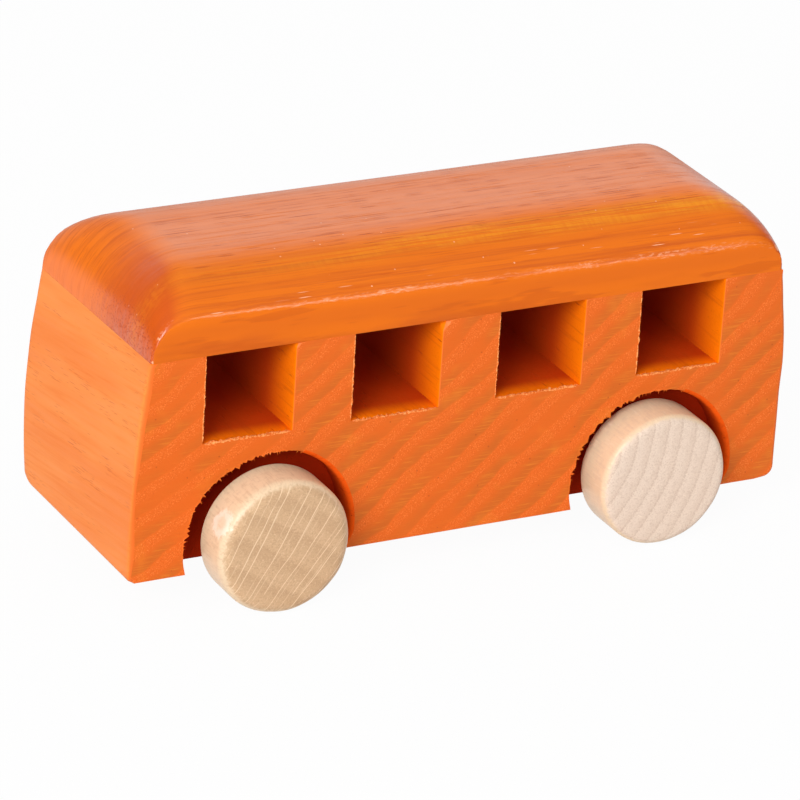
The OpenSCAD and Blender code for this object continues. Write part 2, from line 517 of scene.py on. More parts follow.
def torn_fibres(count, generator):
    """Shares of the tear's height along a row of stations: teeth of standing fibres between gaps."""
    half_teeth = (1, 1, 2, 3, 4, 6)
    gap_steps = (1, 1, 2, 3)
    shares = []
    while len(shares) < count:
        half = generator.choice(half_teeth)
        height = generator.uniform(0.3, 1.0) ** 1.7
        rise = [height * (i + 1) / half for i in range(half)]
        gap = [generator.uniform(-0.2, 0.1) for _ in range(generator.choice(gap_steps))]
        shares.extend(rise + rise[-2::-1] + gap)
    slow = 0.25 * wander(count, 11, generator) + 0.2 * wander(count, 31, generator)
    return np.array(shares[:count]) + slow


def build_block(block, materials):
    """The block as one closed mesh, ring by ring from its left side to its right side."""
    end_grain, long_grain, tunnel_grain, recess_grain, torn_grain = range(5)
    stations = block_outline(block)
    count = len(stations)
    places, ease, tear, chip = (
        np.array([getattr(station, name) for station in stations])
        for name in ("place", "ease", "tear", "chip")
    )
    front, rear = (
        np.array([station.end == end for station in stations], float) for end in (FRONT, REAR)
    )
    normals = outward_normals(places)
    least_tear = 0.1 * block.window_tear
    is_torn = tear > least_tear
    plain_eases = (block.end_ease, block.underside_ease)
    is_plain = np.array([station.recess is None and station.ease in plain_eases for station in stations])
    half_width = BLOCK_HIGH.y
    back_wall = half_width - block.recess_depth
    recess_stations = [
        [i for i, station in enumerate(stations) if station.recess == recess]
        for recess in range(len(AXLE_PLACES))
    ]
    generator = random.Random(block.seed)
    rows = Rings()

    def shaped(points, y):
        """Places in space: towards the right side the front swells and its lower edge is rounded."""
        x, z = points.T
        y = np.broadcast_to(y, count)
        rise = z - BLOCK_LOW.z
        height = np.clip(rise / (BLOCK_HIGH.z - BLOCK_LOW.z), 0, 1)
        across = (y + half_width) / (2 * half_width)
        bulge = block.far_bulge * np.sin(FRONT_WAVE * np.pi * height) * across * front
        swell = block.rear_swell * (1 - across) * rear
        from_front = x - BLOCK_LOW.x
        radius = block.far_corner * (1 - smooth_step(block.far_corner, 3 * block.far_corner, from_front))
        run = np.clip(radius - (half_width - y), 0, radius)
        lift = radius - np.sqrt(radius * radius - run * run)
        lifted = z + lift * np.clip(1 - rise / (2 * block.far_corner), 0, 1)
        return np.stack([x - bulge + swell, y, lifted], axis=1)

    def edge_rings(side):
        """Rings from the side face round its edge into the cuts, in order inwards."""
        fibres = torn_fibres(count, generator)
        depth = block.tear_reach * (0.75 + 0.25 * wander(count, 2, generator))
        worn = ease * (1 + block.edge_wear * wander(count, 4, generator) * is_plain)
        ragged = np.clip(tear / block.window_tear, 0, 1)
        lip_width = block.lip_width * ragged * (0.9 + 0.5 * wander(count, 3, generator))
        lip_height = block.lip_height * ragged * (0.6 + 0.4 * wander(count, 2, generator))

        # Turn of the rounding, then shares: chip, chip's depth, fibre, fibre's depth, lip, lip's height
        profile = (
            (0, 1.0, 0.0, 0.0, 0.0, 1.0, 0.0),
            (20, 0.9, 0.15, 1.0, 0.0, 0.0, 1.0),
            (42, 0.6, 0.4, 0.75, 0.35, 0.0, 0.0),
            (66, 0.25, 0.7, 0.3, 0.7, 0.0, 0.0),
            (90, 0.0, 1.0, 0.0, 1.0, 0.0, 0.0),
        )
        rings = []
        for degrees, chipped, chip_depth, fibre, fibre_depth, lip, lip_rise in profile:
            angle = math.radians(degrees)
            inset = worn * (1 - math.sin(angle)) - tear * fibres * fibre + lip_width * lip
            sink = worn * (1 - math.cos(angle)) + chip * chip_depth
            sink += np.where(is_torn, depth * fibre_depth - lip_height * lip_rise, 0.0)
            points = places - normals * inset[:, None]
            points[:, 0] += chip * chipped
            rings.append(rows.ring(shaped(points, side * (half_width - sink))))
        for deep in CORNER_DEPTHS:
            rings.append(rows.ring(shaped(places, side * (half_width - deep * block.far_corner))))
        return rings

    def wall_rings(side):
        """The ring where the recesses end, and the same ring with the recesses closed."""
        y = side * back_wall
        around = rows.ring(shaped(places, y))
        closed = list(around)
        for inside in recess_stations:
            start = places[inside[0] - 1]
            end = places[(inside[-1] + 1) % count]
            for step, i in enumerate(inside):
                along = (step + 1) / (len(inside) + 1)
                x, z = start + (end - start) * along
                closed[i] = rows.ring([(x, y, z)])[0]
        return around, closed

    def bore_ring(side, recess, loop):
        """The axle's bore in a recess's back wall, one point for each point of the wall's outline."""
        centre = list(AXLE_PLACES.values())[recess]
        points = []
        for number in loop:
            x, _, z = rows.points[number]
            angle = math.atan2(z - centre.z, x - centre.x)
            points.append((
                centre.x + block.bore_radius * math.cos(angle),
                side * back_wall,
                centre.z + block.bore_radius * math.sin(angle),
            ))
        return rows.ring(points)

    def slivers(side):
        """Fibres that stand up from the torn edges: thin closed spikes rooted in the wood."""
        ahead = np.roll(places, -1, axis=0) - np.roll(places, 1, axis=0)
        ahead /= np.linalg.norm(ahead, axis=1)[:, None]
        for i in np.flatnonzero(is_torn):
            in_recess = stations[i].recess is not None
            if generator.random() > block.sliver_share * (RECESS_SLIVERS if in_recess else 1.0):
                continue
            half = generator.uniform(0.3, 0.7) * block.fibre_step
            reach = generator.uniform(0.4, 1.2) * tear[i]
            lean = generator.uniform(-1.5, 1.5) * half
            stand = generator.uniform(-0.6, 0.6) * block.sliver_root
            root = places[i] - normals[i] * block.sliver_root
            tip = places[i] + normals[i] * reach + ahead[i] * lean
            shallow = half_width - 0.1 * block.sliver_root
            corners = (
                (root - ahead[i] * half, shallow),
                (root + ahead[i] * half, shallow),
                (root, half_width - block.sliver_root),
                (tip, half_width + stand),
            )
            spike = rows.ring((x, side * y, z) for (x, z), y in corners)
            grain = end_grain if in_recess else torn_grain
            for first, second, third in ((0, 1, 2), (0, 1, 3), (1, 2, 3), (2, 0, 3)):
                rows.face((spike[first], spike[second], spike[third]), grain)

    def finishes(window_cut, recess_cut, torn_cut=None):
        """One finish for each station: plain faces, cuts, and torn edges where they differ."""
        chosen = []
        for station, torn, plain in zip(stations, is_torn, is_plain):
            cut = window_cut if station.recess is None else recess_cut
            if torn and torn_cut is not None:
                cut = torn_cut if station.recess is None else end_grain
            chosen.append(long_grain if plain else cut)
        return chosen

    outer_edge = finishes(long_grain, recess_grain, torn_grain)
    wall = finishes(tunnel_grain, recess_grain)
    middle = finishes(tunnel_grain, long_grain)
    closed_rings = []
    bores = []
    for side in SIDES:
        edges = edge_rings(side)
        around, closed = wall_rings(side)
        rows.face(edges[0], end_grain)
        for band, (outer, inner) in enumerate(zip(edges, edges[1:])):
            rows.bridge(outer, inner, outer_edge if band < EDGE_BANDS else wall)
        rows.bridge(edges[-1], around, wall)
        slivers(side)
        closed_rings.append(closed)
        for recess, inside in enumerate(recess_stations):
            rim = [around[inside[0] - 1]] + [around[i] for i in inside] + [around[(inside[-1] + 1) % count]]
            chord = [closed[i] for i in reversed(inside)]
            loop = rim + chord
            bore = bore_ring(side, recess, loop)
            rows.bridge(loop, bore, recess_grain)
            bores.append(bore)
    rows.bridge(closed_rings[0], closed_rings[1], middle)
    for left_bore, right_bore in zip(bores, bores[len(recess_stations):]):
        rows.bridge(left_bore, right_bore, recess_grain)
    return rows.build("block", materials, BLOCK_SHARP)


# The roof board

def graded(reach, fine, coarse):
    """Insets from zero to reach, close together at the edge and wider apart further in."""
    growth = 1.25
    places = [0.0]
    step = fine
    while places[-1] + step < reach:
        places.append(places[-1] + step)
        step = min(step * growth, coarse)
    places.append(reach)
    return places


def end_fall(reach, rise, inset, power):
    """How far an end's rounding has fallen at inset in from the end."""
    run = min(max(1 - inset / reach, 0.0), 1.0)
    return rise * (1 - (1 - run ** power) ** (1 / power))


def crease_extra(roof, inset):
    """How far the sanding takes the crease down, inset in from the side."""
    part = 1 - min(inset / roof.crease_width, 1.0)
    return roof.crease_drop * (1 - math.sqrt(1 - part * part))


def eased_corner(inset_x, inset_y, radius):
    """Insets of a point near a square corner, moved so that the corner is round in plan."""
    past_x = radius - inset_x
    past_y = radius - inset_y
    if past_x <= 0 or past_y <= 0:
        return inset_x, inset_y
    scale = max(past_x, past_y) / math.hypot(past_x, past_y)
    return radius - past_x * scale, radius - past_y * scale


def build_roof(roof, materials):
    """The roof board: a grid over its top, upright bands round it and a flat underside."""
    fine = 0.06 * MM
    coarse = 1.6 * MM
    least_band = 0.15 * MM
    band_heights = (0.8, 0.6, 0.4, 0.2)
    joint_steps = ((0.0, 1.0), (0.3, 0.3), (1.0, 0.0))
    blend_span = (0.3, 0.7)
    front_x, rear_x = ROOF_LOW.x, ROOF_HIGH.x
    half_width = ROOF_HIGH.y
    bottom, top = ROOF_LOW.z, ROOF_HIGH.z
    thickness = top - bottom
    generator = random.Random(roof.seed)
    end_rise = thickness - roof.end_band

    front_insets = graded(roof.front_reach, fine, coarse)
    rear_insets = graded(roof.rear_reach, fine, coarse)
    middle = line((front_x + roof.front_reach, 0), (rear_x - roof.rear_reach, 0), coarse)
    columns = [
        (end_fall(roof.front_reach, end_rise, inset, roof.front_fullness), front_x + inset)
        for inset in front_insets[:-1]
    ]
    columns += [(0.0, float(point[0])) for point in middle]
    columns += [
        (end_fall(roof.rear_reach, end_rise, inset, roof.rear_fullness), rear_x - inset)
        for inset in reversed(rear_insets)
    ]
    side_insets = graded(roof.side_reach, fine, coarse)
    centre = line((roof.side_reach, 0), (half_width, 0), coarse)
    half_rows = [(inset, LEFT) for inset in side_insets]
    half_rows += [(float(point[0]), LEFT) for point in centre[1:]]
    rows_across = half_rows + [(half_width, LEFT)] + [(inset, RIGHT) for inset, _ in reversed(half_rows)]
    wear = [generator.uniform(-1, 1) for _ in columns]

    def surface(column, row):
        """Place of one grid point: the top, less the fall of the end, the side and its worn crease."""
        fall_at_end, x = columns[column]
        side_inset, side = rows_across[row]
        along = (x - front_x) / (rear_x - front_x)
        band = roof.front_band + (roof.rear_band - roof.front_band) * along
        rise = thickness - band - roof.crease_drop
        side_fall = arc_fall(roof.side_reach, rise, max(roof.side_reach - side_inset, 0.0))
        edge = crease_extra(roof, side_inset)
        worn = roof.crease_wear * wear[column] * (1 - smooth_step(0, 2 * roof.crease_width, side_inset))
        side_fall += edge + worn
        power = roof.front_blend + (roof.rear_blend - roof.front_blend) * smooth_step(*blend_span, along)
        fall = (max(side_fall, 0.0) ** power + fall_at_end ** power) ** (1 / power)
        front_half = x < (front_x + rear_x) / 2
        corner = roof.front_corner if front_half else roof.rear_corner
        inset_x = x - front_x if front_half else rear_x - x
        rightward = 0.5 + side * (half_width - side_inset) / (2 * half_width)
        if front_half:
            low = 1 - min(inset_x / roof.front_reach, 1.0)
            swell = -roof.front_swell * rightward * low * low
        else:
            low = 1 - min(inset_x / roof.rear_reach, 1.0)
            swell = roof.rear_swell * (1 - rightward) * low * low
        inset_x, inset_y = eased_corner(inset_x, side_inset, corner)
        place_x = swell + (front_x + inset_x if front_half else rear_x - inset_x)
        return place_x, side * (half_width - inset_y), max(top - fall, bottom + least_band)

    rows = Rings()
    grid = [
        rows.ring([surface(column, row) for column in range(len(columns))])
        for row in range(len(rows_across))
    ]
    for lower, upper in zip(grid, grid[1:]):
        rows.bridge(lower, upper, closed=False)
    rim = list(grid[0])
    rim += [ring[-1] for ring in grid[1:-1]]
    rim += list(reversed(grid[-1]))
    rim += [ring[0] for ring in reversed(grid[1:-1])]
    edge = [rows.points[number] for number in rim]
    rings = [rim]
    for height in band_heights:
        rings.append(rows.ring((x, y, bottom + (z - bottom) * height) for x, y, z in edge))
    for inset, lift in joint_steps:
        points = []
        for x, y, _ in edge:
            on_end = min(abs(x - front_x), abs(x - rear_x)) < 2 * roof.front_corner
            on_side = half_width - abs(y) < roof.front_corner
            pull_x = inset * roof.joint_ease * math.copysign(1, -x) * on_end
            pull_y = inset * roof.joint_ease * math.copysign(1, -y) * on_side
            points.append((x + pull_x, y + pull_y, bottom + lift * roof.joint_ease))
        rings.append(rows.ring(points))
    for upper, lower in zip(rings, rings[1:]):
        rows.bridge(upper, lower)
    rows.face(rings[-1])
    return rows.build("roof_board", materials, ROOF_SHARP)


# The wheels

def build_wheel(name, wheels, node, outward, edge, materials, phase):
    """A wheel turned about its own middle, with its blind hole in the back."""
    low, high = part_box(node)
    radius = (high.z - low.z) / 2
    thickness = high.y - low.y
    steps = wheels.steps
    edge_steps = 7
    flat_radius = 0.95
    face_parts = (0.8, 0.55, 0.3, 0.1)
    rows = Rings()

    def sanding(angle):
        """Size of the hand-sanded edge at one angle, as a share of its plain size."""
        waves = math.sin(3 * angle + phase) + 0.6 * math.sin(7 * angle + 2 * phase)
        waves += 0.35 * math.sin(13 * angle + 5 * phase)
        return 1 + wheels.edge_wander * waves

    def turned(profile):
        """The ring of one profile step, which gives a place out from the axis and one along it."""
        points = []
        for i in range(steps):
            angle = 2 * math.pi * i / steps
            out, along = profile(angle)
            points.append((out * math.cos(angle), outward * (along - thickness / 2), out * math.sin(angle)))
        return rows.ring(points)

    def outer_edge(turn):
        """A profile step on the rounded outer edge, at one angle of the rounding."""
        def place(angle):
            rounding = edge * sanding(angle)
            return radius - rounding * (1 - math.cos(turn)), thickness - rounding * (1 - math.sin(turn))
        return place

    def back_edge(turn):
        """A profile step on the rounded inner edge, at one angle of the rounding."""
        rounding = wheels.back_edge
        return lambda angle: (radius - rounding * (1 - math.cos(turn)), rounding * (1 - math.sin(turn)))

    quarter = [math.radians(90) * i / edge_steps for i in range(edge_steps + 1)]
    profile = [
        lambda angle: (wheels.hole_radius, wheels.hole_depth),
        lambda angle: (wheels.hole_radius, 0.0),
    ]
    profile += [back_edge(turn) for turn in reversed(quarter)]
    profile += [outer_edge(turn) for turn in quarter]
    for part in face_parts:
        out = part * radius * flat_radius
        along = thickness + wheels.crown * (1 - part * part)
        profile.append(lambda angle, out=out, along=along: (out, along))
    rings = [turned(step) for step in profile]
    rows.face(rings[0])
    for lower, upper in zip(rings, rings[1:]):
        rows.bridge(lower, upper)
    rows.face(rings[-1])
    piece = rows.build(name, materials, WHEEL_SHARP)
    piece.location = (low + high) / 2
    return piece


# Node trees

class Nodes:
    """One node tree, with short calls that add a node, feed its inputs and give back its output."""

    def __init__(self, tree):
        self.tree = tree

    def feed(self, socket, value):
        if isinstance(value, bpy.types.NodeSocket):
            self.tree.links.new(value, socket)
        else:
            socket.default_value = value

    def node(self, kind, inputs=None, **settings):
        made = self.tree.nodes.new(kind)
        for name, value in settings.items():
            setattr(made, name, value)
        for key, value in (inputs or {}).items():
            self.feed(made.inputs[key], value)
        return made

    def math(self, operation, first, second=0.0, third=0.0):
        inputs = {0: first, 1: second, 2: third}
        return self.node("ShaderNodeMath", inputs, operation=operation).outputs[0]

    def times(self, first, second):
        return self.math("MULTIPLY", first, second)

    def minus(self, first, second):
        return self.math("SUBTRACT", first, second)

    def larger(self, first, second):
        return self.math("MAXIMUM", first, second)

    def vector(self, operation, first, second=(0.0, 0.0, 0.0)):
        made = self.node("ShaderNodeVectorMath", {0: first, 1: second}, operation=operation)
        return made.outputs["Value" if operation in ("LENGTH", "DOT_PRODUCT") else "Vector"]

    def split(self, vector):
        return self.node("ShaderNodeSeparateXYZ", {0: vector}).outputs

    def join(self, x, y, z):
        return self.node("ShaderNodeCombineXYZ", {0: x, 1: y, 2: z}).outputs[0]

    def noise(self, vector, scale, detail, roughness=0.5):
        inputs = {"Vector": vector, "Scale": scale, "Detail": detail, "Roughness": roughness}
        return self.node("ShaderNodeTexNoise", inputs).outputs[0]

    def grain(self, position, size, detail, roughness=0.5):
        """Noise whose lumps are about as big as the size, in millimetres."""
        return self.noise(position, 1 / (size * MM), detail, roughness)

    def remap(self, value, low, high, to_low=0.0, to_high=1.0):
        inputs = {"Value": value, "From Min": low, "From Max": high, "To Min": to_low, "To Max": to_high}
        return self.node("ShaderNodeMapRange", inputs, interpolation_type="SMOOTHSTEP").outputs[0]

    def mix(self, factor, first, second):
        """Two colours mixed, each a socket or a plain colour without alpha."""
        ends = [end if isinstance(end, bpy.types.NodeSocket) else rgba(end) for end in (first, second)]
        made = self.node("ShaderNodeMix", {0: factor, 6: ends[0], 7: ends[1]}, data_type="RGBA")
        return made.outputs[2]

    def coordinates(self, name):
        """The piece's own coordinates, all from one node of the tree."""
        made = self.tree.nodes.get("coordinates")
        made = made or self.node("ShaderNodeTexCoord", name="coordinates")
        return made.outputs[name]

    def group(self, name, inputs):
        return self.node("ShaderNodeGroup", inputs, node_tree=shared_group(name)).outputs

    def streaks(self, position, size):
        return self.group("fibre streaks", {"Position": position, "Size": millimetres(size)})["Streak"]

    def dashes(self, position, size, share_of_places):
        inputs = {"Position": position, "Size": millimetres(size), "Share": share_of_places}
        return self.group("fibre dashes", inputs)["Dash"]


def millimetres(size):
    return tuple(value * MM for value in size)


def new_group(name, inputs, outputs):
    """An empty node group with named sockets, ready to be filled, and its two end nodes."""
    tree = bpy.data.node_groups.new(name, "ShaderNodeTree")
    kinds = {"vector": "NodeSocketVector", "value": "NodeSocketFloat"}
    for label, kind in inputs:
        tree.interface.new_socket(name=label, in_out="INPUT", socket_type=kinds[kind])
    for label, kind in outputs:
        tree.interface.new_socket(name=label, in_out="OUTPUT", socket_type=kinds[kind])
    nodes = Nodes(tree)
    start = tree.nodes.new("NodeGroupInput").outputs
    end = tree.nodes.new("NodeGroupOutput").inputs
    return tree, nodes, start, end


def growth_rings():
    """Rings round a pith that runs along Y: the age at each point, its latewood and its angle."""
    tree, nodes, start, end = new_group(
        "growth rings",
        [("Position", "vector"), ("Pith", "vector"), ("Spacing", "value"), ("Wobble", "value"),
         ("Wobble Size", "value")],
        [("Age", "value"), ("Late", "value"), ("Angle", "value")],
    )
    flat = nodes.vector("MULTIPLY", start["Position"], (1.0, 0.0, 1.0))
    away = nodes.vector("SUBTRACT", flat, start["Pith"])
    x, _, z = nodes.split(away)
    lumps = nodes.noise(flat, nodes.math("DIVIDE", 1.0, start["Wobble Size"]), 3.0, 0.55)
    sway = nodes.times(nodes.minus(lumps, 0.5), start["Wobble"])
    years = nodes.math("DIVIDE", nodes.vector("LENGTH", away), start["Spacing"])
    age = nodes.math("ADD", years, sway)
    season = nodes.math("FRACT", age)
    late = nodes.times(nodes.remap(season, 0.25, 0.75), nodes.remap(season, 1.0, 0.84))
    nodes.feed(end["Age"], age)
    nodes.feed(end["Late"], late)
    nodes.feed(end["Angle"], nodes.math("ARCTAN2", z, x))
    return tree


def fibre_dashes():
    """Short pores, as long in each direction as the size says, in a share of their places."""
    tree, nodes, start, end = new_group(
        "fibre dashes",
        [("Position", "vector"), ("Size", "vector"), ("Share", "value")],
        [("Dash", "value")],
    )
    cells = nodes.vector("DIVIDE", start["Position"], start["Size"])
    voronoi = nodes.node("ShaderNodeTexVoronoi", {"Vector": cells, "Scale": 1.0})
    core = nodes.remap(voronoi.outputs["Distance"], 0.42, 0.2)
    pick = nodes.split(voronoi.outputs["Color"])[0]
    chosen = nodes.math("LESS_THAN", pick, start["Share"])
    nodes.feed(end["Dash"], nodes.times(core, chosen))
    return tree


def fibre_streaks():
    """Soft streaks, as long in each direction as the size says."""
    tree, nodes, start, end = new_group(
        "fibre streaks",
        [("Position", "vector"), ("Size", "vector")],
        [("Streak", "value")],
    )
    stretched = nodes.vector("DIVIDE", start["Position"], start["Size"])
    nodes.feed(end["Streak"], nodes.noise(stretched, 1.0, 3.0, 0.6))
    return tree


def shared_group(name):
    """A node group that the finishes share, built when it is first asked for."""
    makers = {"growth rings": growth_rings, "fibre dashes": fibre_dashes, "fibre streaks": fibre_streaks}
    return bpy.data.node_groups.get(name) or makers[name]()


def new_material(name, specular):
    """A material with its Principled shader, its node calls and the piece's own coordinates."""
    material = bpy.data.materials.new(name)
    material.use_nodes = True
    shader = material.node_tree.nodes["Principled BSDF"]
    shader.inputs["Specular IOR Level"].default_value = specular
    nodes = Nodes(material.node_tree)
    return material, nodes, shader, nodes.coordinates("Object")


def dress(nodes, shader, base, roughness, height, depth, strength=0.5):
    """Feeds a finish's colour, roughness and bump to its shader."""
    bump = nodes.node("ShaderNodeBump", {"Height": height, "Distance": depth, "Strength": strength})
    nodes.feed(shader.inputs["Base Color"], base)
    nodes.feed(shader.inputs["Roughness"], roughness)
    nodes.feed(shader.inputs["Normal"], bump.outputs[0])


def rgba(values):
    return (*values, 1.0)


# Finishes

BLOCK_PITH = (-300 * MM, 0.0, 410 * MM)
BLOCK_RING = 5.2 * MM


def end_grain_finish(finish):
    """Sawn end grain under stain: narrow speckled bands between smoother, duller ones."""
    material, nodes, shader, position = new_material("stained_end_grain", specular=0.2)
    rings = nodes.group("growth rings", {
        "Position": position, "Pith": BLOCK_PITH, "Spacing": BLOCK_RING, "Wobble": 1.9,
        "Wobble Size": 30 * MM})
    patchy = nodes.remap(nodes.grain(position, 17, 2.0), 0.34, 0.6, 0.2, 1.0)
    dull = nodes.times(rings["Late"], patchy)
    open_wood = nodes.remap(rings["Late"], 0.34, 0.0)
    base = nodes.mix(nodes.times(dull, 0.8), finish.early, finish.late)
    yellowing = nodes.remap(nodes.grain(position, 9, 3.0, 0.6), 0.55, 0.75, 0.0, 0.3)
    base = nodes.mix(yellowing, base, finish.scratch)
    scratch = nodes.remap(nodes.streaks(position, (7, 7, 0.22)), 0.5, 0.68)
    lined = nodes.times(scratch, nodes.remap(dull, 0.0, 1.0, 0.05, 0.55))
    base = nodes.mix(lined, base, finish.scratch)
    grit = nodes.grain(position, 0.26, 2.0, 0.6)
    bright = nodes.times(nodes.remap(grit, 0.53, 0.68), nodes.times(open_wood, 0.7))
    base = nodes.mix(bright, base, finish.fleck)
    dark = nodes.times(nodes.remap(grit, 0.42, 0.28), nodes.remap(open_wood, 0.0, 1.0, 0.12, 0.4))
    base = nodes.mix(dark, base, finish.pore)
    dots = nodes.dashes(position, (0.6, 9, 0.6), 0.012)
    base = nodes.mix(nodes.times(dots, 0.55), base, finish.pore)
    roughness = nodes.remap(dull, 0.0, 1.0, 0.7, 0.5)
    fuzz = nodes.times(grit, open_wood)
    height = nodes.math("ADD", fuzz, nodes.times(scratch, 0.15))
    dress(nodes, shader, base, roughness, height, depth=0.14 * MM)
    return material


def long_grain_finish(finish):
    """Smooth faces of the block along the grain, with rows of short dark dashes."""
    material, nodes, shader, position = new_material("stained_long_grain", specular=0.25)
    drift = nodes.times(nodes.split(position)[1], math.tan(math.radians(7)))
    leaning = nodes.vector("ADD", position, nodes.join(0.0, 0.0, drift))
    streak = nodes.streaks(leaning, (0.9, 30, 0.9))
    broad = nodes.streaks(leaning, (9, 60, 9))
    base = nodes.mix(nodes.remap(broad, 0.35, 0.65), finish.long_grain, finish.long_light)
    base = nodes.mix(nodes.remap(streak, 0.52, 0.72, 0.0, 0.3), base, finish.early)
    rows = nodes.remap(nodes.streaks(leaning, (4.5, 40, 4.5)), 0.47, 0.6)
    long_dash = nodes.dashes(leaning, (0.3, 5.2, 0.24), 0.26)
    short_dash = nodes.dashes(leaning, (0.28, 2.6, 0.22), 0.18)
    dash = nodes.larger(long_dash, short_dash)
    dash = nodes.times(dash, nodes.remap(rows, 0.0, 1.0, 0.06, 0.6))
    base = nodes.mix(dash, base, finish.dash)
    facing_side = nodes.math("ABSOLUTE", nodes.split(nodes.coordinates("Normal"))[1])
    base = nodes.mix(nodes.remap(facing_side, 0.3, 1.0, 0.0, 0.9), base, finish.early)
    roughness = nodes.remap(streak, 0.3, 0.7, 0.45, 0.58)
    height = nodes.minus(nodes.times(streak, 0.3), dash)
    dress(nodes, shader, base, roughness, height, depth=0.06 * MM)
    return material


def cut_finish(name, near, deep, dark, reach):
    """Walls cut into the block: stain over sawn grain, with painted shade that darkens them as far in as the reach
    says.
    """
    material, nodes, shader, position = new_material(name, specular=0.02)
    side_place = nodes.math("ABSOLUTE", nodes.split(position)[1])
    facing_up = nodes.larger(nodes.split(nodes.coordinates("Normal"))[2], 0.0)
    depth = nodes.minus(BLOCK_HIGH.y, side_place)
    # Painted shade comes on sooner on faces turned up, the floors of the cuts
    depth = nodes.times(depth, nodes.math("MULTIPLY_ADD", facing_up, 1.3, 1.0))
    # Painted light and shade: the lit colour at the mouth, the shade colour deep in
    base = nodes.mix(nodes.remap(depth, 0.0, reach), near, deep)
    streak = nodes.streaks(position, (0.8, 16, 0.8))
    base = nodes.mix(nodes.remap(streak, 0.48, 0.75, 0.0, 0.3), base, dark)
    grit = nodes.grain(position, 0.5, 3.0, 0.7)
    base = nodes.mix(nodes.remap(grit, 0.55, 0.75, 0.0, 0.25), base, dark)
    dash = nodes.dashes(position, (0.5, 3, 0.5), 0.06)
    base = nodes.mix(nodes.times(dash, 0.5), base, dark)
    roughness = nodes.remap(grit, 0.3, 0.7, 0.55, 0.72)
    height = nodes.minus(nodes.times(grit, 0.5), dash)
    dress(nodes, shader, base, roughness, height, depth=0.1 * MM, strength=0.6)
    return material


def torn_grain_finish(finish):
    """Fibres torn up at the edges of the cuts, paler and rougher than the faces."""
    material, nodes, shader, position = new_material("torn_fibres", specular=0.15)
    strands = nodes.grain(position, 0.5, 3.0, 0.7)
    base = nodes.mix(nodes.remap(strands, 0.4, 0.6), finish.early, finish.torn)
    roughness = nodes.remap(strands, 0.3, 0.7, 0.65, 0.85)
    dress(nodes, shader, base, roughness, strands, depth=0.15 * MM, strength=0.6)
    return material


GOLD_PLACE = -16.6 * MM
GOLD_WIDTH = 4.2 * MM
BOARD_PITH = (400 * MM, 0.0, -60 * MM)
BOARD_RING = 3.1 * MM


